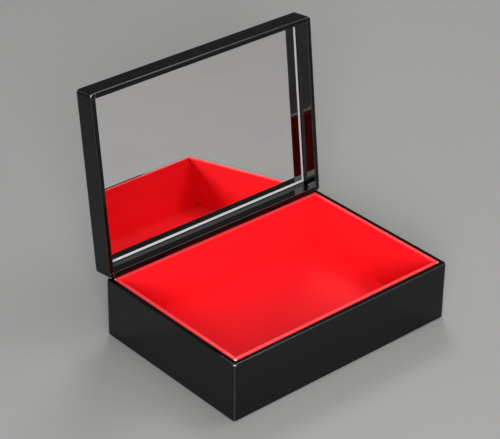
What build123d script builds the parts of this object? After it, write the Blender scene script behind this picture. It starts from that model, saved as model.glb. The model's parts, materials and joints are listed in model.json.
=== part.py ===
# Black lacquered box with a hinged lid, a mirror in the lid and a red lining, in millimetres.
# The box stands at the origin: X runs along its long side, -Y is its front, +Y its hinge side, +Z is up.
# The lid is built closed and then turned back to its stop, which is how the part rests.

import os
from math import cos, radians, sin

from build123d import *

# Outside sizes
box_length = 200.0
box_depth = 139.5
base_height = 46.3
lid_height = 16.7
parting_gap = 0.3
corner_radius = 2.6
edge_radius = 1.0
inner_edge_radius = 0.4

# Base boards, bottom panel and underside felt
base_wall = 4.0
bottom_thickness = 3.0
bottom_tongue = 1.5
felt_thickness = 0.8
felt_stand = 0.3
felt_margin = 1.0

# Red lining
lining_wall = 3.0
lining_floor = 1.5
lining_stand = 0.6
lining_radius = 0.7
lining_corner_radius = 1.2

# Lid and mirror
lip_clearance = 0.1
lid_panel = 1.9
mirror_thickness = 1.9
mirror_clearance = 0.5
mirror_bevel_width = 2.4
mirror_bevel_depth = 0.7
backing_thickness = 0.4
backing_margin = 6.0

# Hinges, each two leaves and a pin, with the barrel let into the lid's back rail
opening_angle = 96.5
hinge_inset = 40.0
hinge_length = 20.0
axis_inset = 2.0
axis_rise = 3.3
leaf_height = 8.0
leaf_thickness = 0.8
knuckle_radius = 1.1
knuckle_count = 5
knuckle_end_gap = 0.2
neck_height = 0.8
notch_clearance = 0.25
pin_radius = 0.55
pin_play = 0.05
pin_stand = 0.3
stop_gap = 0.05

# Hinge screws
screws_per_leaf = 3
screw_pitch = 7.0
screw_head_radius = 1.2
screw_core_radius = 0.6
screw_point = 0.8
screw_cover = 0.5
screw_slot_width = 0.35
screw_slot_depth = 0.2
screw_clearance = 0.03

# Heights and places that follow from the sizes
panel_bottom = felt_thickness
floor_bottom = panel_bottom + bottom_thickness
lining_bottom = floor_bottom + lining_floor
lining_top = base_height + lining_stand
lid_bottom = base_height + parting_gap
lid_top = lid_bottom + lid_height
panel_underside = lid_top - lid_panel
mirror_back = panel_underside - backing_thickness
mirror_front = mirror_back - mirror_thickness
lid_wall = base_wall - lip_clearance
inside_length = box_length - 2 * base_wall
inside_depth = box_depth - 2 * base_wall
panel_length = inside_length + 2 * bottom_tongue
panel_depth = inside_depth + 2 * bottom_tongue
back_face = box_depth / 2
axis_y = back_face - axis_inset
axis_height = base_height + axis_rise
hinge_axis = Axis((0, axis_y, axis_height), (1, 0, 0))
on_base = (Align.CENTER, Align.CENTER, Align.MIN)
hinge_centre = box_length / 2 - hinge_inset
hinge_centres = {"left": -hinge_centre, "right": hinge_centre}
neck_bottom = axis_height - neck_height / 2
neck_top = axis_height + neck_height / 2
swing = radians(opening_angle)
lid_leaf_rise = (axis_inset * (1 - cos(swing)) + stop_gap) / sin(swing)
lid_leaf_bottom = axis_height + lid_leaf_rise
screw_length = lid_wall - screw_cover
screw_head_height = screw_head_radius - screw_core_radius


def block(length, depth, bottom, top):
    """A box centred on the origin in X and Y, between two heights."""
    return Pos(0, 0, bottom) * Box(length, depth, top - bottom, align=on_base)


def span(low, high):
    """A box between two opposite corners."""
    length, depth, height = (b - a for a, b in zip(low, high))
    return Pos(*low) * Box(length, depth, height, align=Align.MIN)


def rod(radius, start, end, y, z):
    """A cylinder along X between two values of X."""
    return Pos(start, y, z) * Rot(0, 90, 0) * Cylinder(radius, end - start, align=on_base)


def edges_at(solid, height):
    """The edges that lie wholly at one height."""
    return solid.edges().filter_by_position(Axis.Z, height, height)


def edges_within(edges, length, depth):
    """The edges whose middles lie inside a rectangle centred on the origin."""
    return [edge for edge in edges
            if abs(edge.center().X) < length / 2 and abs(edge.center().Y) < depth / 2]


def rounded_block(length, depth, bottom, top):
    """A block with the box's rounded upright corners."""
    solid = block(length, depth, bottom, top)
    return fillet(solid.edges().filter_by(Axis.Z), corner_radius)


def mitred(ring, length, depth, wall, bottom, top):
    """Cuts a rectangular ring along its mitres into front, right, back and left boards."""
    quarters = [(-0.5, -0.5), (0.5, -0.5), (0.5, 0.5), (-0.5, 0.5)]
    outer = [(x * length, y * depth) for x, y in quarters]
    inner = [(x * (length - 2 * wall), y * (depth - 2 * wall)) for x, y in quarters]
    boards = {}
    for first, side in enumerate(("front", "right", "back", "left")):
        second = (first + 1) % len(quarters)
        outline = Polyline(outer[first], outer[second], inner[second], inner[first], close=True)
        wedge = Pos(0, 0, bottom) * extrude(make_face(outline), top - bottom)
        boards[side] = ring & wedge
    return boards


def opened(solid):
    """Turns a piece of the closed lid back to its stop."""
    return solid.rotate(hinge_axis, -opening_angle)


# Base

def base_boards():
    """The four outer boards, rebated for the bottom panel, the back one let in for the hinges."""
    ring = rounded_block(box_length, box_depth, felt_stand, base_height)
    ring = fillet(edges_at(ring, base_height) + edges_at(ring, felt_stand), edge_radius)
    ring -= block(inside_length, inside_depth, felt_stand, base_height)
    ring -= block(panel_length, panel_depth, felt_stand, floor_bottom)
    boards = mitred(ring, box_length, box_depth, base_wall, felt_stand, base_height)
    for centre in hinge_centres.values():
        boards["back"] -= leaf_plate(centre, base_height - leaf_height, base_height)
        boards["back"] -= screw_group(centre, base_screw_height(), screw_clearance)
    return boards


def bottom_panel():
    return block(panel_length, panel_depth, panel_bottom, floor_bottom)


def underside_felt():
    length = inside_length - 2 * felt_margin
    depth = inside_depth - 2 * felt_margin
    return rounded_block(length, depth, 0, panel_bottom)


def lining_floor_panel():
    return block(inside_length, inside_depth, floor_bottom, lining_bottom)


def lining_boards():
    """The four red boards that line the inside, stand a little above its black rim and have eased corners."""
    tray_length = inside_length - 2 * lining_wall
    tray_depth = inside_depth - 2 * lining_wall
    ring = block(inside_length, inside_depth, lining_bottom, lining_top)
    ring = fillet(ring.edges().filter_by(Axis.Z), lining_corner_radius)
    ring -= block(tray_length, tray_depth, lining_bottom, lining_top)
    ring = fillet(edges_at(ring, lining_top), lining_radius)
    return mitred(ring, inside_length, inside_depth, lining_wall, lining_bottom, lining_top)


# Lid, in its closed place

def lid_rails():
    """The lid's four sides, the back one notched for the barrels and let in for the hinges."""
    ring = rounded_block(box_length, box_depth, lid_bottom, panel_underside)
    ring = fillet(edges_at(ring, lid_bottom), edge_radius)
    ring -= block(box_length - 2 * lid_wall, box_depth - 2 * lid_wall, lid_bottom, panel_underside)
    rim = edges_at(ring, lid_bottom)
    inner_rim = edges_within(rim, box_length - lid_wall, box_depth - lid_wall)
    ring = fillet(inner_rim, inner_edge_radius)
    rails = mitred(ring, box_length, box_depth, lid_wall, lid_bottom, panel_underside)
    for centre in hinge_centres.values():
        rails["back"] -= barrel_notch(centre)
        rails["back"] -= leaf_plate(centre, axis_height, lid_leaf_bottom + leaf_height)
        rails["back"] -= screw_group(centre, lid_screw_height(), screw_clearance)
    return rails


def barrel_notch(centre):
    """What the lid's back rail loses so that a hinge can be slid in from behind and the lid can turn."""
    reach = hinge_length / 2 + pin_stand + notch_clearance
    start, end = centre - reach, centre + reach
    around = knuckle_radius + notch_clearance
    swept = axis_y - neck_height / 2 - axis_inset * abs(cos(swing)) - notch_clearance
    behind = back_face - leaf_thickness - notch_clearance
    notch = rod(around, start, end, axis_y, axis_height)
    notch += span((start, axis_y, axis_height - around), (end, back_face, axis_height))
    notch += span((start, swept, axis_height), (end, back_face, lid_leaf_bottom))
    return notch + span((start, behind, lid_bottom), (end, back_face, axis_height))


def lid_top_panel():
    panel = rounded_block(box_length, box_depth, panel_underside, lid_top)
    return fillet(edges_at(panel, lid_top), edge_radius)


def mirror_backing():
    margin = 2 * (lid_wall + backing_margin)
    return block(box_length - margin, box_depth - margin, mirror_back, panel_underside)


def mirror_glass():
    """The mirror, whose face is ground away to a narrow slope all round."""
    length = box_length - 2 * (lid_wall + mirror_clearance)
    depth = box_depth - 2 * (lid_wall + mirror_clearance)
    bevel_back = mirror_front + mirror_bevel_depth
    face = Rectangle(length - 2 * mirror_bevel_width, depth - 2 * mirror_bevel_width)
    front = Pos(0, 0, mirror_front) * face
    shoulder = Pos(0, 0, bevel_back) * Rectangle(length, depth)
    return block(length, depth, bevel_back, mirror_back) + loft([front, shoulder], ruled=True)


# Hinges

def leaf_plate(centre, bottom, top):
    """A leaf's flat part, let in flush with the back of the box."""
    half = hinge_length / 2
    let_in = back_face - leaf_thickness
    return span((centre - half, let_in, bottom), (centre + half, back_face, top))


def knuckle_spans(centre, first):
    """Start and end along X of every other knuckle, from the first one counted."""
    pitch = hinge_length / knuckle_count
    for index in range(first, knuckle_count, 2):
        start = centre - hinge_length / 2 + index * pitch
        yield start + knuckle_end_gap / 2, start + pitch - knuckle_end_gap / 2


def leaf(centre, first, bottom, top, bore):
    """One leaf with its knuckles, bored for the pin. Bottom and top are those of its flat part."""
    solid = leaf_plate(centre, bottom, top)
    riser_bottom = min(top, neck_bottom)
    riser_top = max(bottom, neck_top)
    let_in = back_face - leaf_thickness
    for start, end in knuckle_spans(centre, first):
        solid += rod(knuckle_radius, start, end, axis_y, axis_height)
        solid += span((start, axis_y, neck_bottom), (end, back_face, neck_top))
        solid += span((start, let_in, riser_bottom), (end, back_face, riser_top))
    return solid - rod(bore, centre - hinge_length, centre + hinge_length, axis_y, axis_height)


def base_leaf(centre):
    solid = leaf(centre, 0, base_height - leaf_height, base_height, pin_radius)
    return solid - screw_group(centre, base_screw_height(), screw_clearance)


def lid_leaf(centre):
    """The lid's leaf, whose lower edge meets the backs of the base leaf's knuckles when the lid is open."""
    top = lid_leaf_bottom + leaf_height
    solid = leaf(centre, 1, lid_leaf_bottom, top, pin_radius + pin_play)
    return solid - screw_group(centre, lid_screw_height(), screw_clearance)


def hinge_pin(centre):
    end = hinge_length / 2 + pin_stand
    pin = rod(pin_radius, centre - end, centre + end, axis_y, axis_height)
    return chamfer(pin.edges().filter_by(GeomType.CIRCLE), pin_stand / 2)


def base_screw_height():
    return base_height - leaf_height / 2


def lid_screw_height():
    return lid_leaf_bottom + leaf_height / 2


def screw(clearance):
    """A countersunk screw along Z with the top of its head at the origin, or the hole that it fits."""
    head = screw_head_radius + clearance
    core = screw_core_radius + clearance
    end = -screw_length - clearance
    shank = [(core, -screw_head_height), (core, end + screw_point)]
    profile = Polyline((0, 0), (head, 0), *shank, (0, end), close=True)
    solid = revolve(make_face(Plane.XZ * profile), Axis.Z)
    if clearance:
        return solid
    return solid - Pos(0, 0, -screw_slot_depth / 2) * Box(2 * head, screw_slot_width, screw_slot_depth)


def screw_group(centre, height, clearance=0.0):
    """One leaf's row of screws, driven into the back of the box, or the holes for them."""
    row = [(index - (screws_per_leaf - 1) / 2) * screw_pitch for index in range(screws_per_leaf)]
    return [Pos(centre + x, back_face, height) * Rot(-90, 0, 0) * screw(clearance) for x in row]


# All pieces, under the names that their files take

def all_pieces():
    pieces = {"base_bottom_panel": bottom_panel(), "base_felt": underside_felt()}
    pieces["lining_floor_panel"] = lining_floor_panel()
    for side, board in base_boards().items():
        pieces[f"base_{side}_board"] = board
    for side, board in lining_boards().items():
        pieces[f"lining_{side}_board"] = board
    for side, rail in lid_rails().items():
        pieces[f"lid_{side}_rail"] = opened(rail)
    pieces["lid_top_panel"] = opened(lid_top_panel())
    pieces["mirror_backing_card"] = opened(mirror_backing())
    pieces["mirror_glass"] = opened(mirror_glass())
    base_screws = []
    lid_screws = []
    for side, centre in hinge_centres.items():
        pieces[f"{side}_hinge_base_leaf"] = base_leaf(centre)
        pieces[f"{side}_hinge_lid_leaf"] = opened(lid_leaf(centre))
        pieces[f"{side}_hinge_pin"] = hinge_pin(centre)
        base_screws += screw_group(centre, base_screw_height())
        lid_screws += [opened(piece) for piece in screw_group(centre, lid_screw_height())]
    pieces["base_hinge_screws"] = Compound(base_screws)
    pieces["lid_hinge_screws"] = Compound(lid_screws)
    return pieces


os.makedirs("parts", exist_ok=True)
for name, piece in all_pieces().items():
    export_step(piece, f"parts/{name}.step")
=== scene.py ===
# The looks of a black lacquered box whose lid holds a mirror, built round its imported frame.
# Everything is in metres, in the frame's own place, unless a name ends in _mm. The coordinates that the
# materials work on and the screws' Geometry Nodes tree are in millimetres.

import json
import math

import bpy
import bmesh
from mathutils import Matrix, Vector


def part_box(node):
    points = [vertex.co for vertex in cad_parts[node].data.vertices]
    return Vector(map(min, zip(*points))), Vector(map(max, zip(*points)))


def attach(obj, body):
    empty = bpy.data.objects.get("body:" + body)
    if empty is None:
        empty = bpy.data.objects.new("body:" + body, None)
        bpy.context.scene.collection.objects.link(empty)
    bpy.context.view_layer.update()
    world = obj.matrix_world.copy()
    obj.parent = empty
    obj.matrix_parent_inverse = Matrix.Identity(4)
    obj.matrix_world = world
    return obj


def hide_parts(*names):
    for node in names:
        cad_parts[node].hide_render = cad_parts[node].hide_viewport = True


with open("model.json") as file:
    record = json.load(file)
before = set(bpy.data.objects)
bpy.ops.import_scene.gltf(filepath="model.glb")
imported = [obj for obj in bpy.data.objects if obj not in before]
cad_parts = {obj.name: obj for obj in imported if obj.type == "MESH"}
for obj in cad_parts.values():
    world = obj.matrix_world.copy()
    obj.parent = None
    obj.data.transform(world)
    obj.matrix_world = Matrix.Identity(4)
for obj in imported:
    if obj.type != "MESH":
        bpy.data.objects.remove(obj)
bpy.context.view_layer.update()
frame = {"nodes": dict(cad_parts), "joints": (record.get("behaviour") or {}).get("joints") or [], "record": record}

MM = 0.001

# The lid's hinge, which turns its closed place into the place that it rests in
hinge = frame["joints"][0]
hinge_point = Vector(hinge["pos_m"])
opening_angle = math.radians(hinge["range_deg"][1])

# Sizes read from the frame
base_low_mm, base_high_mm = (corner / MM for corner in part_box("base_front_board"))
half_length_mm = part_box("base_right_board")[1].x / MM
half_depth_mm = -base_low_mm.y
base_bottom_mm = base_low_mm.z
base_top_mm = base_high_mm.z
glass_half_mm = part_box("mirror_glass")[1].x / MM
felt_low, felt_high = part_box("base_felt")
lining_high_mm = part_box("lining_right_board")[1] / MM
leaf_low, leaf_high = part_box("right_hinge_base_leaf")
screw_low, screw_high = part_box("base_hinge_screws")

# Sizes that the frame's boxes don't tell, in millimetres
parting_gap_mm = 0.3
lid_height_mm = 16.7
lid_wall_mm = 3.9
corner_radius_mm = 2.6
edge_radius_mm = 1.0
inner_edge_radius_mm = 0.8
bevel_width_mm = 2.4
lid_screws_rise_mm = 6.291
lid_bottom_mm = base_top_mm + parting_gap_mm
lid_top_mm = lid_bottom_mm + lid_height_mm

# How far from its corner's two planes, added up, a corner point is painted pale as a painted highlight, in
# millimetres
black_glint_mm = 2.3
red_glint_mm = 1.5


# Shader writing

class Wire:
    """One output of a shader node. Python's operators on it add Math nodes."""

    def __init__(self, tree, socket=None):
        self.tree = tree
        self.socket = socket

    def node(self, kind, inputs=None, output=0, **settings):
        """Adds any node: its settings first, then what its inputs take, by name or number."""
        made = self.tree.nodes.new(kind)
        for name, value in settings.items():
            setattr(made, name, value)
        for key, value in (inputs or {}).items():
            if isinstance(value, Wire):
                self.tree.links.new(value.socket, made.inputs[key])
            else:
                made.inputs[key].default_value = value
        return Wire(self.tree, made.outputs[output] if made.outputs else None)

    def maths(self, operation, *values):
        return self.node("ShaderNodeMath", dict(enumerate(values)), operation=operation)

    def __add__(self, other):
        return self.maths("ADD", self, other)

    def __radd__(self, other):
        return self.maths("ADD", other, self)

    def __sub__(self, other):
        return self.maths("SUBTRACT", self, other)

    def __rsub__(self, other):
        return self.maths("SUBTRACT", other, self)

    def __mul__(self, other):
        return self.maths("MULTIPLY", self, other)

    def __rmul__(self, other):
        return self.maths("MULTIPLY", other, self)

    def __truediv__(self, other):
        return self.maths("DIVIDE", self, other)

    def __rtruediv__(self, other):
        return self.maths("DIVIDE", other, self)

    def __abs__(self):
        return self.maths("ABSOLUTE", self)

    def __lt__(self, other):
        return self.maths("LESS_THAN", self, other)

    def least(self, other):
        return self.maths("MINIMUM", self, other)

    def most(self, other):
        return self.maths("MAXIMUM", self, other)

    def fade(self, start, end, low=0.0, high=1.0):
        """Runs smoothly from low at start to high at end."""
        inputs = {0: self, 1: start, 2: end, 3: low, 4: high}
        return self.node("ShaderNodeMapRange", inputs, interpolation_type="SMOOTHSTEP")

    def vector(self, x=0.0, y=0.0, z=0.0):
        """A vector of numbers or wires, in the same tree."""
        return self.node("ShaderNodeCombineXYZ", {0: x, 1: y, 2: z})

    def xyz(self):
        return [self.node("ShaderNodeSeparateXYZ", {0: self}, output=axis) for axis in range(3)]

    def stretched(self, scale):
        """The same coordinates with each axis multiplied."""
        return self.node("ShaderNodeVectorMath", {0: self, 1: scale}, operation="MULTIPLY")

    def noise(self, scale, detail=2.0, roughness=0.5):
        inputs = {"Vector": self, "Scale": scale, "Detail": detail, "Roughness": roughness}
        return self.node("ShaderNodeTexNoise", inputs)

    def cells(self, scale, output=0):
        """Output 0 is how far the middle of the nearest cell is, output 1 a colour drawn for that cell."""
        return self.node("ShaderNodeTexVoronoi", {"Vector": self, "Scale": scale}, output=output)

    def blend(self, low, high):
        """A colour that runs from low to high with this factor."""
        inputs = {0: self, 6: low, 7: high}
        return self.node("ShaderNodeMix", inputs, output=2, data_type="RGBA")

    def bump(self, distance, strength=1.0):
        inputs = {"Height": self, "Distance": distance, "Strength": strength}
        return self.node("ShaderNodeBump", inputs)


def colour(red, green, blue):
    return (red, green, blue, 1.0)


def new_material(name):
    """An empty material, a wire on its tree and the wire of the piece's own coordinates."""
    material = bpy.data.materials.new(name)
    material.use_nodes = True
    material.node_tree.nodes.clear()
    start = Wire(material.node_tree)
    return material, start, start.node("ShaderNodeTexCoord", output=3)


def surface(start, inputs):
    """Ends a material in one Principled shader."""
    shader = start.node("ShaderNodeBsdfPrincipled", inputs)
    start.node("ShaderNodeOutputMaterial", {"Surface": shader})


def in_millimetres(place):
    return place.stretched((1 / MM, 1 / MM, 1 / MM))


def closed(place):
    """Coordinates on a piece of the open lid, turned to where they are when the lid is shut."""
    turn = Matrix.Rotation(opening_angle, 3, "X")
    shift = hinge_point - turn @ hinge_point
    inputs = {"Vector": place, "Location": shift, "Rotation": (opening_angle, 0.0, 0.0)}
    return place.node("ShaderNodeMapping", inputs, vector_type="POINT")


def arris(first, second, radius_mm):
    """1 along the middle of a rounded edge, from a point's depths behind the two faces that meet there.

    On the middle line the two depths add up to 0.59 of the radius, and they add up to more beside it.
    """
    return (first + second).fade(radius_mm * 0.59, radius_mm * 0.72, 1.0, 0.0)


def outer_arrises(place_mm, low_mm, high_mm):
    """1 along the outer edges of a block centred on X and Y."""
    x, y, z = place_mm.xyz()
    from_ends = half_length_mm - abs(x)
    from_sides = half_depth_mm - abs(y)
    from_faces = (z - low_mm).least(high_mm - z)
    upright = arris(from_ends, from_sides, corner_radius_mm)
    level = arris(from_ends.least(from_sides), from_faces, edge_radius_mm)
    return upright.most(level)


def inner_arrises(place_mm, wall_mm, height_mm):
    """1 along the inner edge of a rim at one height, inside walls of one thickness."""
    x, y, z = place_mm.xyz()
    behind_ends = abs(half_length_mm - wall_mm - abs(x))
    behind_sides = abs(half_depth_mm - wall_mm - abs(y))
    return arris(behind_ends.least(behind_sides), abs(z - height_mm), inner_edge_radius_mm)


def corner_glints(place_mm, half_x_mm, half_y_mm, reach_mm, height_mm):
    """1 at a block's four corner points, within a millimetre of one height; these points get a painted highlight.
    """
    x, y, z = place_mm.xyz()
    spread = (half_x_mm - abs(x)) + (half_y_mm - abs(y))
    return spread.fade(reach_mm * 0.8, reach_mm, 1.0, 0.0) * abs(z - height_mm).fade(0.4, 1.05, 1.0, 0.0)


def specks(place_mm, spacing_mm, radius_mm, share):
    """1 in small round dots, one to a cell in a share of the cells."""
    distance = place_mm.cells(1 / spacing_mm)
    draw = place_mm.cells(1 / spacing_mm, output=1)
    chosen = draw.node("ShaderNodeSeparateColor", {0: draw}) < share
    return (distance < radius_mm / spacing_mm) * chosen


# Finishes

def black_lacquer(name, on_lid):
    """Polished black lacquer: a faint ripple, handling haze, dust, edges painted paler for wear and as a painted
    highlight, and painted highlights at the corner points.
    """
    material, start, place = new_material(name)
    if on_lid:
        place = closed(place)
    place = in_millimetres(place)
    low, high = (lid_bottom_mm, lid_top_mm) if on_lid else (base_bottom_mm, base_top_mm)
    arrises = outer_arrises(place, low, high)
    mouth = low if on_lid else high
    # Pale glints painted at the corner points of the mouth: a painted highlight.
    glints = corner_glints(place, half_length_mm, half_depth_mm, black_glint_mm, mouth)
    if on_lid:
        arrises = arrises.most(inner_arrises(place, lid_wall_mm, lid_bottom_mm))
    # Paler edges: partly wear, partly a painted highlight along the rounded arrises.
    wear_and_highlight = arrises * place.noise(0.30, 3.0).fade(0.25, 0.6, 0.45, 1.0)
    dust = specks(place, 9.0, 0.13, 0.45)
    haze = place.noise(0.028, 4.0, 0.6).fade(0.42, 0.72)
    fine = place.noise(1.6, 2.0)
    deep = haze.blend(colour(0.0018, 0.0017, 0.0018), colour(0.0030, 0.0028, 0.0028))
    # The pale edge colour: part wear, part painted highlight.
    wear_and_highlight_colour = (wear_and_highlight * 0.85).blend(deep, colour(0.032, 0.029, 0.028))
    # Mixes in the painted corner highlight.
    glint_painted = glints.blend(wear_and_highlight_colour, colour(0.56, 0.53, 0.51))
    dusted = (dust * 0.6).blend(glint_painted, colour(0.12, 0.115, 0.11))
    roughness = 0.05 + haze * 0.05 + fine * 0.015 + wear_and_highlight * 0.10 + dust * 0.4
    ripple = place.noise(0.22, 1.0).bump(0.00002, 0.35)
    surface(start, {"Base Color": dusted, "Roughness": roughness, "IOR": 1.34, "Normal": ripple})
    return material


def red_lacquer():
    """Satin scarlet lacquer with a fine mottle, a top edge painted paler for wear and as a painted sheen, and
    painted highlights at the corner points.
    """
    material, start, place = new_material("satin_red_lacquer")
    place = in_millimetres(place)
    z = place.xyz()[2]
    # The top band of the lining: painted paler as a painted sheen and partly as wear, and made glossier.
    top = z.fade(lining_high_mm.z - 0.9, lining_high_mm.z - 0.1)
    mottle = place.noise(0.06, 3.0, 0.55)
    grain = place.noise(3.0, 2.0)
    base = mottle.blend(colour(0.93, 0.0105, 0.0180), colour(0.97, 0.0140, 0.0230))
    # A paler pink top edge: a painted sheen, partly wear.
    wear_and_highlight = (top * 0.8).blend(base, colour(0.95, 0.060, 0.068))
    dust = specks(place, 12.0, 0.11, 0.35)
    # Pale glints painted at the lining's corner points: a painted highlight.
    glints = corner_glints(place, lining_high_mm.x, lining_high_mm.y, red_glint_mm, lining_high_mm.z)
    glint_painted = glints.blend(wear_and_highlight, colour(0.95, 0.70, 0.66))
    dusted = (dust * 0.3).blend(glint_painted, colour(0.95, 0.26, 0.24))
    roughness = 0.52 + mottle * 0.08 + grain * 0.05 - top * 0.26
    skin = grain.bump(0.00003, 0.5)
    surface(start, {"Base Color": dusted, "Roughness": roughness, "IOR": 1.22, "Normal": skin})
    return material


def mirror_silver():
    """Silvered glass, wiped but not spotless, with a ground slope round its edge."""
    material, start, place = new_material("silvered_glass")
    place = in_millimetres(closed(place))
    x, y, _ = place.xyz()
    glass_depth_half = half_depth_mm - (half_length_mm - glass_half_mm)
    from_edge = (glass_half_mm - abs(x)).least(glass_depth_half - abs(y))
    ground = from_edge < bevel_width_mm
    wiped = place.stretched((0.25, 1.0, 1.0)).noise(0.05, 4.0, 0.6).fade(0.45, 0.8)
    dust = specks(place, 11.0, 0.12, 0.5)
    silver = wiped.blend(colour(0.88, 0.87, 0.87), colour(0.83, 0.82, 0.82))
    silver = (dust * 0.8).blend(silver, colour(0.95, 0.95, 0.95))
    frost = place.noise(2.5, 2.0).blend(colour(0.86, 0.87, 0.87), colour(0.93, 0.93, 0.92))
    tint = ground.blend(silver, frost)
    roughness = ground * 0.30 + (1.0 - ground) * (0.004 + wiped * 0.012 + dust * 0.5)
    metallic = 1.0 - ground.most(dust * 0.6)
    surface(start, {"Base Color": tint, "Roughness": roughness, "Metallic": metallic, "IOR": 1.5})
    return material


def dark_hinge_metal():
    """Brass darkened nearly to black, brushed along the leaf, with the bare metal showing in patches of wear."""
    material, start, place = new_material("darkened_brass")
    place = in_millimetres(place)
    brushed = place.stretched((0.12, 3.0, 3.0)).noise(1.0, 3.0)
    patches = place.noise(0.35, 4.0, 0.65)
    bare = patches.fade(0.58, 0.72)
    dark = brushed.blend(colour(0.045, 0.036, 0.026), colour(0.085, 0.066, 0.046))
    tint = (bare * 0.35).blend(dark, colour(0.42, 0.29, 0.14))
    roughness = 0.30 + brushed * 0.16 - bare * 0.06
    lines = brushed.bump(0.00002, 0.4)
    surface(start, {"Base Color": tint, "Roughness": roughness, "Metallic": 1.0, "Normal": lines})
    return material


def black_felt():
    """Short pressed black felt."""
    material, start, place = new_material("pressed_felt")
    place = in_millimetres(place)
    tufts = place.noise(1.1, 4.0, 0.7)
    fibres = place.stretched((1.0, 0.3, 1.0)).noise(4.0, 3.0)
    tint = tufts.blend(colour(0.010, 0.010, 0.011), colour(0.030, 0.029, 0.030))
    nap = (tufts * 0.6 + fibres * 0.4).bump(0.0003, 0.9)
    inputs = {"Base Color": tint, "Roughness": 0.95, "Sheen Weight": 0.25, "Normal": nap}
    surface(start, inputs)
    return material


def grey_card():
    """Plain grey card behind the mirror."""
    material, start, place = new_material("grey_card")
    place = in_millimetres(place)
    pulp = place.noise(0.9, 4.0, 0.7)
    tint = pulp.blend(colour(0.15, 0.145, 0.13), colour(0.24, 0.23, 0.21))
    surface(start, {"Base Color": tint, "Roughness": 0.9, "Normal": pulp.bump(0.0001, 0.5)})
    return material


base_black = black_lacquer("black_lacquer_base", on_lid=False)
lid_black = black_lacquer("black_lacquer_lid", on_lid=True)
finishes = {
    "red_lacquer": red_lacquer(),
    "mirror": mirror_silver(),
    "dark_hinge_metal": dark_hinge_metal(),
    "black_felt": black_felt(),
    "grey_card": grey_card(),
}


def dress(node, material):
    """Gives a node of the frame its finish."""
    slots = frame["nodes"][node].material_slots
    if not slots:
        frame["nodes"][node].data.materials.append(material)
    for slot in slots:
        slot.material = material


for part in frame["record"]["subparts"]:
    black = lid_black if part["node"].startswith("lid") else base_black
    dress(part["node"], finishes.get(part["material_slot"], black))


# Geometry Nodes

def new_tree(name, inputs):
    """An empty Geometry Nodes tree with named inputs, and a wire for each of them."""
    tree = bpy.data.node_groups.new(name, "GeometryNodeTree")
    tree.interface.new_socket("Geometry", in_out="OUTPUT", socket_type="NodeSocketGeometry")
    tree.interface.new_socket("Geometry", in_out="INPUT", socket_type="NodeSocketGeometry")
    for label, kind in inputs.items():
        tree.interface.new_socket(label, in_out="INPUT", socket_type="NodeSocket" + kind)
    entry = tree.nodes.new("NodeGroupInput")
    return tree, {socket.name: Wire(tree, socket) for socket in entry.outputs if socket.name}


def end_tree(shape, material):
    """Makes the copies real and gives them their material."""
    real = shape.node("GeometryNodeRealizeInstances", {0: shape})
    dressed = real.node("GeometryNodeSetMaterial", {"Geometry": real, "Material": material})
    dressed.node("NodeGroupOutput", {0: dressed})


def grown(name, tree, values, ground=None):
    """Runs a tree once with these values, and gives an object that holds the result as a plain mesh."""
    holder = bpy.data.objects.new("ground_of_" + name, ground or bpy.data.meshes.new("ground_of_" + name))
    bpy.context.scene.collection.objects.link(holder)
    modifier = holder.modifiers.new("grow", "NODES")
    modifier.node_group = tree
    for item in tree.interface.items_tree:
        if item.in_out == "INPUT" and item.name in values:
            modifier[item.identifier] = values[item.name]
    graph = bpy.context.evaluated_depsgraph_get()
    mesh = bpy.data.meshes.new_from_object(holder.evaluated_get(graph))
    bpy.data.objects.remove(holder)
    return stood(name, mesh)


def stood(name, mesh):
    """An object at the origin for a mesh that already holds its place."""
    mesh.name = name
    made = bpy.data.objects.new(name, mesh)
    bpy.context.scene.collection.objects.link(made)
    return made


# Underside felt

def rounded_outline(half_length, half_depth, radius, step):
    """Points round a rectangle with rounded corners, about a step apart along its sides."""
    across, along = half_length - radius, half_depth - radius
    centres = [(across, -along), (across, along), (-across, along), (-across, -along)]
    parts = 6
    arcs = []
    for corner, (x, y) in enumerate(centres):
        turns = [math.pi / 2 * (corner - 1 + part / parts) for part in range(parts + 1)]
        arcs.append([Vector((x + radius * math.cos(a), y + radius * math.sin(a))) for a in turns])
    outline = []
    for arc, following in zip(arcs, arcs[1:] + arcs[:1]):
        count = round((following[0] - arc[-1]).length / step)
        outline += arc
        outline += [arc[-1].lerp(following[0], part / count) for part in range(1, count)]
    return outline


def felt_pad():
    """The felt under the box, with a knife-cut edge that wavers a little and is rounded by wear."""
    half = (felt_high - felt_low) / 2
    thickness = felt_high.z - felt_low.z
    fibre_room = 0.05 * MM
    corner = corner_radius_mm * MM
    # The cut edge from the bottom up: how far in from the pad's outline it lies, and how high
    edge = [
        (0.34 * MM, fibre_room), (0.09 * MM, 0.12 * MM), (0.0, 0.28 * MM), (0.0, 0.6 * MM),
        (0.06 * MM, thickness)]
    outline = rounded_outline(half.x, half.y, corner, 2.0 * MM)
    shape = bmesh.new()
    loops = []
    for inset, height in edge:
        loop = []
        for index, point in enumerate(outline):
            # Two waves of unlike lengths
            waver = 0.04 * MM * (2 + math.sin(0.9 * index) + math.sin(2.3 * index + 1))
            share = 1 - (inset + waver) / half.y
            loop.append(shape.verts.new((point.x * share, point.y * share, felt_low.z + height)))
        loops.append(loop)
    count = len(outline)
    for lower, upper in zip(loops, loops[1:]):
        for index in range(count):
            after = (index + 1) % count
            shape.faces.new((lower[index], lower[after], upper[after], upper[index]))
    shape.faces.new(reversed(loops[0]))
    shape.faces.new(loops[-1])
    mesh = bpy.data.meshes.new("felt_pad")
    shape.to_mesh(mesh)
    shape.free()
    mesh.materials.append(finishes["black_felt"])
    return stood("felt_pad", mesh)


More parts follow.
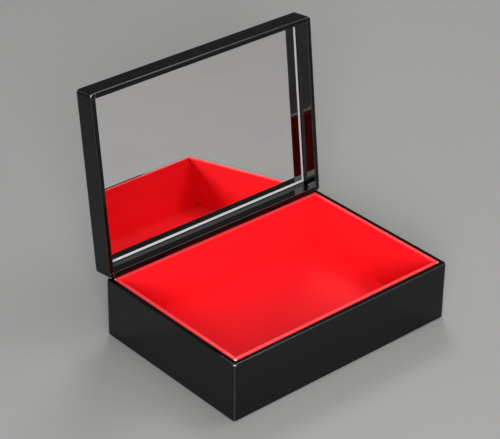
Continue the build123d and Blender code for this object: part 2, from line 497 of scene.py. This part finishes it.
def fibre_tree():
    """Short curved fibres that lie on the underside of a pad."""
    tree, given = new_tree("felt_fibres", {
        "Density": "Float", "Length": "Float", "Thickness": "Float", "Tilt": "Float", "Seed": "Int",
        "Material": "Material"})
    ground = given["Geometry"]
    underside = ground.node("GeometryNodeInputNormal").xyz()[2] < -0.9
    spots = ground.node("GeometryNodeDistributePointsOnFaces", {
        "Mesh": ground, "Selection": underside, "Density": given["Density"], "Seed": given["Seed"]})
    reach = given["Length"] * 0.5
    start = ground.vector(x=0.0 - reach)
    bow = ground.vector(y=reach * 0.9)
    end = ground.vector(x=reach)
    path = ground.node("GeometryNodeCurveQuadraticBezier", {
        "Resolution": 4, "Start": start, "Middle": bow, "End": end})
    ring = ground.node("GeometryNodeCurvePrimitiveCircle", {
        "Resolution": 3, "Radius": given["Thickness"] * 0.5})
    fibre = ground.node("GeometryNodeCurveToMesh", {"Curve": path, "Profile Curve": ring, "Fill Caps": True})
    tilt = given["Tilt"]
    low = ground.vector(0.0 - tilt, 0.0 - tilt)
    high = ground.vector(tilt, tilt, math.tau)
    turn = ground.node("FunctionNodeRandomValue", {0: low, 1: high, "Seed": given["Seed"]},
                       data_type="FLOAT_VECTOR")
    size = ground.node("FunctionNodeRandomValue", {2: 0.45, 3: 1.0, "Seed": given["Seed"] + 1.0},
                       output=1, data_type="FLOAT")
    fibres = ground.node("GeometryNodeInstanceOnPoints", {
        "Points": spots, "Instance": fibre, "Rotation": turn, "Scale": size})
    end_tree(fibres, given["Material"])
    return tree


# Hinge screws

def screw_tree():
    """Rows of countersunk screws with a thread and a cut slot, each turned its own way. In millimetres."""
    lengths = ["Hinge Spacing", "Screw Pitch", "Head Radius", "Head Height", "Core Radius", "Length", "Point",
               "Thread Pitch", "Thread Height", "Slot Width", "Slot Depth", "Rim"]
    inputs = {label: "Float" for label in lengths}
    inputs.update({"Row Middle": "Vector", "Screws": "Int", "Seed": "Int", "Material": "Material"})
    tree, given = new_tree("hinge_screws", inputs)
    start = given["Geometry"]
    sides, rings, face_rings = 24, 76, 4
    sheet = start.node("GeometryNodeMeshGrid", {
        "Size X": math.tau, "Size Y": 1.0, "Vertices X": sides + 1, "Vertices Y": rings})
    angle, row, _ = start.node("GeometryNodeInputPosition").xyz()
    ring = (row + 0.5) * (rings - 1)
    on_face = (ring / face_rings).least(1.0)
    depth = ((ring - face_rings) / (rings - 1 - face_rings)).most(0.0) * given["Length"]
    slope = (given["Head Radius"] - given["Core Radius"]) / given["Head Height"]
    cone = (given["Head Radius"] - given["Rim"] + depth).least(given["Head Radius"] - depth * slope)
    turned = start.maths("PINGPONG", depth / given["Thread Pitch"] + angle / math.tau, 0.5) * 2.0
    threaded = depth.fade(given["Head Height"], given["Head Height"] * 1.5)
    shank = given["Core Radius"] + turned * threaded * given["Thread Height"]
    tip = (given["Length"] - depth) * (given["Core Radius"] / given["Point"])
    radius = cone.most(shank).least(tip) * on_face
    across = radius * start.maths("COSINE", angle)
    up = radius * start.maths("SINE", angle)
    place = start.vector(across, 0.0 - depth, up)
    turned_sheet = start.node("GeometryNodeSetPosition", {"Geometry": sheet, "Position": place})
    body = start.node("GeometryNodeMergeByDistance", {"Geometry": turned_sheet, "Distance": 0.001})
    slot_size = start.vector(given["Head Radius"] * 2.4, given["Slot Depth"] * 2.0, given["Slot Width"])
    slot = start.node("GeometryNodeMeshCube", {"Size": slot_size})
    screw = start.node("GeometryNodeMeshBoolean", {"Mesh 1": body, "Mesh 2": slot},
                       operation="DIFFERENCE", solver="EXACT")
    row_start = start.vector(given["Screw Pitch"] * (given["Screws"] - 1.0) * -0.5)
    row_step = start.vector(given["Screw Pitch"])
    leaf_row = start.node("GeometryNodeMeshLine", {
        "Count": given["Screws"], "Start Location": row_start, "Offset": row_step})
    half_spacing = start.vector(given["Hinge Spacing"] * -0.5)
    first = start.node("ShaderNodeVectorMath", {0: given["Row Middle"], 1: half_spacing}, operation="ADD")
    spacing = start.vector(given["Hinge Spacing"])
    hinges = start.node("GeometryNodeMeshLine", {"Count": 2, "Start Location": first, "Offset": spacing})
    rows = start.node("GeometryNodeInstanceOnPoints", {"Points": hinges, "Instance": leaf_row})
    points = start.node("GeometryNodeRealizeInstances", {0: rows})
    turn = start.node("FunctionNodeRandomValue", {2: 0.0, 3: math.tau, "Seed": given["Seed"]},
                      output=1, data_type="FLOAT")
    turn_vector = start.vector(y=turn)
    screws = start.node("GeometryNodeInstanceOnPoints", {
        "Points": points, "Instance": screw, "Rotation": turn_vector})
    real = start.node("GeometryNodeRealizeInstances", {0: screws})
    in_metres = start.node("GeometryNodeTransform", {"Geometry": real, "Scale": (MM, MM, MM)})
    end_tree(in_metres, given["Material"])
    return tree


def hinge_screws(name, tree, height, seed):
    """Both hinges' screws in one leaf's rows, at a height above the floor."""
    back_face_mm = screw_high.y / MM
    hinge_centre_mm = (leaf_low.x + leaf_high.x) / 2 / MM
    head_radius_mm = (screw_high.z - screw_low.z) / 2 / MM
    core_radius_mm = head_radius_mm / 2
    values = {
        "Row Middle": (0.0, back_face_mm, height / MM),
        "Hinge Spacing": 2 * hinge_centre_mm,
        "Screws": 3,
        "Screw Pitch": screw_high.x / MM - hinge_centre_mm - head_radius_mm,
        "Head Radius": head_radius_mm,
        "Head Height": head_radius_mm - core_radius_mm,
        "Core Radius": core_radius_mm,
        "Length": back_face_mm - screw_low.y / MM,
        "Point": 0.9,
        "Thread Pitch": 0.55,
        "Thread Height": 0.16,
        "Slot Width": 0.35,
        "Slot Depth": 0.3,
        "Rim": 0.06,
        "Seed": seed,
        "Material": finishes["dark_hinge_metal"],
    }
    made = grown(name, tree, values)
    made.data.shade_smooth()
    made.data.set_sharp_from_angle(angle=math.radians(30))
    return made


def make_felt():
    pad = felt_pad()
    values = {"Density": 130000.0, "Length": 1.5 * MM, "Thickness": 0.03 * MM, "Tilt": 0.02, "Seed": 7,
              "Material": finishes["black_felt"]}
    fibres = grown("felt_fibres", fibre_tree(), values, ground=pad.data)
    for piece in (pad, fibres):
        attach(piece, "base")
    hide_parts("base_felt")


def make_screws():
    tree = screw_tree()
    row_height = (screw_low.z + screw_high.z) / 2
    base_screws = hinge_screws("base_screws", tree, row_height, seed=3)
    lid_row_height = hinge_point.z + lid_screws_rise_mm * MM
    lid_screws = hinge_screws("lid_screws", tree, lid_row_height, seed=11)
    shift = Matrix.Translation(hinge_point)
    lid_screws.data.transform(shift @ Matrix.Rotation(-opening_angle, 4, "X") @ shift.inverted())
    for piece, body in ((base_screws, "base"), (lid_screws, "lid")):
        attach(piece, body)
        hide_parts(body + "_hinge_screws")


make_felt()
make_screws()


# Floor, light and camera

def pale_floor():
    """A pale round floor that turns up into a low wall far from the box."""
    radius, bend, wall = 2.2, 0.8, 0.9
    steps = 8
    rings = [(radius * step / steps, 0.0) for step in range(1, steps + 1)]
    for step in range(1, steps + 1):
        turn = math.pi / 2 * step / steps
        rings.append((radius + bend * math.sin(turn), bend * (1 - math.cos(turn))))
    rings.append((radius + bend, bend + wall))
    count = 96
    mesh = bpy.data.meshes.new("pale_floor")
    shape = bmesh.new()
    middle = shape.verts.new((0.0, 0.0, 0.0))
    loops = []
    for distance, height in rings:
        ring = []
        for index in range(count):
            angle = math.tau * index / count
            ring.append(shape.verts.new((distance * math.cos(angle), distance * math.sin(angle), height)))
        loops.append(ring)
    for index in range(count):
        after = (index + 1) % count
        shape.faces.new((middle, loops[0][index], loops[0][after]))
        for inner, outer in zip(loops, loops[1:]):
            shape.faces.new((inner[index], outer[index], outer[after], inner[after]))
    shape.to_mesh(mesh)
    shape.free()
    mesh.shade_smooth()
    floor = bpy.data.objects.new("pale_floor", mesh)
    bpy.context.scene.collection.objects.link(floor)
    material, start, _ = new_material("pale_floor")
    surface(start, {"Base Color": colour(0.37, 0.366, 0.36), "Roughness": 0.85, "Specular IOR Level": 0.2})
    mesh.materials.append(material)


def lamp(name, place, aim, size, power):
    data = bpy.data.lights.new(name, "AREA")
    data.shape = "SQUARE"
    data.size = size
    data.energy = power
    made = bpy.data.objects.new(name, data)
    made.location = place
    made.rotation_euler = (Vector(aim) - Vector(place)).to_track_quat("-Z", "Y").to_euler()
    bpy.context.scene.collection.objects.link(made)


def soft_light():
    """A soft key from the front left, a top light, one behind on the right and two weak ones on the right."""
    middle = (0.0, 0.0, 0.06)
    lamp("key_lamp", (-1.00, -1.15, 0.72), middle, 0.60, 26.0)
    lamp("top_lamp", (0.05, -0.15, 1.50), middle, 0.9, 5.0)
    lamp("back_lamp", (0.60, 0.70, 1.10), middle, 0.42, 6.0)
    lamp("edge_lamp", (0.75, -0.25, 1.05), middle, 0.45, 1.8)
    lamp("low_lamp", (1.15, -1.25, 0.60), middle, 0.50, 1.9)
    world = bpy.data.worlds.new("soft_surround")
    world.use_nodes = True
    background = world.node_tree.nodes["Background"]
    background.inputs["Color"].default_value = colour(0.95, 0.97, 1.0)
    background.inputs["Strength"].default_value = 0.135
    bpy.context.scene.world = world


def photo_camera():
    """The camera solved from the box's edges in the photograph."""
    azimuth, elevation, roll = (math.radians(angle) for angle in (-41.255, 30.540, 0.686))
    target = Vector((-0.009379, 0.020, 0.083025))
    distance = 1.34307
    tilt = Matrix.Rotation(math.pi / 2 - elevation, 4, "X")
    turn = Matrix.Rotation(azimuth, 4, "Z") @ tilt @ Matrix.Rotation(roll, 4, "Z")
    data = bpy.data.cameras.new("camera")
    data.lens = 137.457
    data.sensor_width = 36.0
    data.clip_start = 0.05
    data.clip_end = 50.0
    made = bpy.data.objects.new("camera", data)
    made.matrix_world = Matrix.Translation(target) @ turn @ Matrix.Translation((0.0, 0.0, distance))
    bpy.context.scene.collection.objects.link(made)
    bpy.context.scene.camera = made


pale_floor()
soft_light()
photo_camera()
bpy.context.scene.view_settings.view_transform = "Standard"
